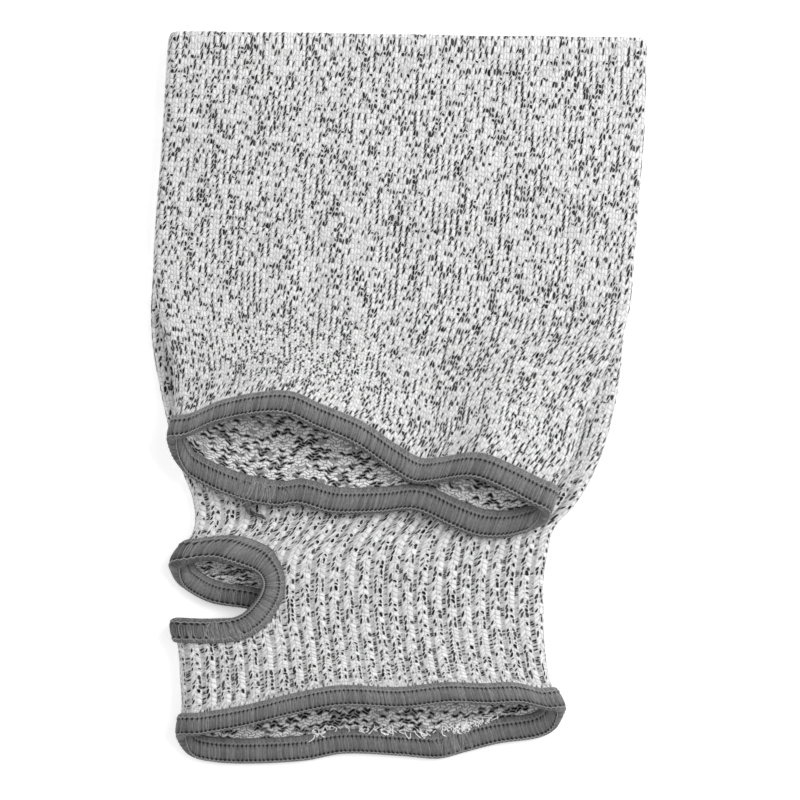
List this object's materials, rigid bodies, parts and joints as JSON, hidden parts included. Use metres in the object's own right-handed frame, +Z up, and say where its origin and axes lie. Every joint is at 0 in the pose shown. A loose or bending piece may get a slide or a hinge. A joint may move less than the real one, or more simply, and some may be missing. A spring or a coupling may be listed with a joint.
{
  "type": "cut resistant sleeve",
  "caption": "Knitted tube for forearm and palm with a ribbed wrist, a thumb hole in one fold and overlocked edges, folded once across and lying flat.",
  "frame": {"origin": "middle of the sleeve's box in X and Y, on the table under it", "axes": "+Z up off the table, +Y towards the fold across the sleeve, both mouths open towards -Y, the thumb hole is on the -X side"},
  "size_m": [0.1322, 0.1962, 0.0228],
  "materials": {
    "knit": "salt and pepper knit",
    "edging": "overlocked grey thread"
  },
  "bodies": {
    "root": {"knit_sleeve": "knit", "hand_edging": "edging", "arm_edging": "edging", "thumb_edging": "edging", "arm_edging_tail": "edging"}
  },
  "joints": []
}
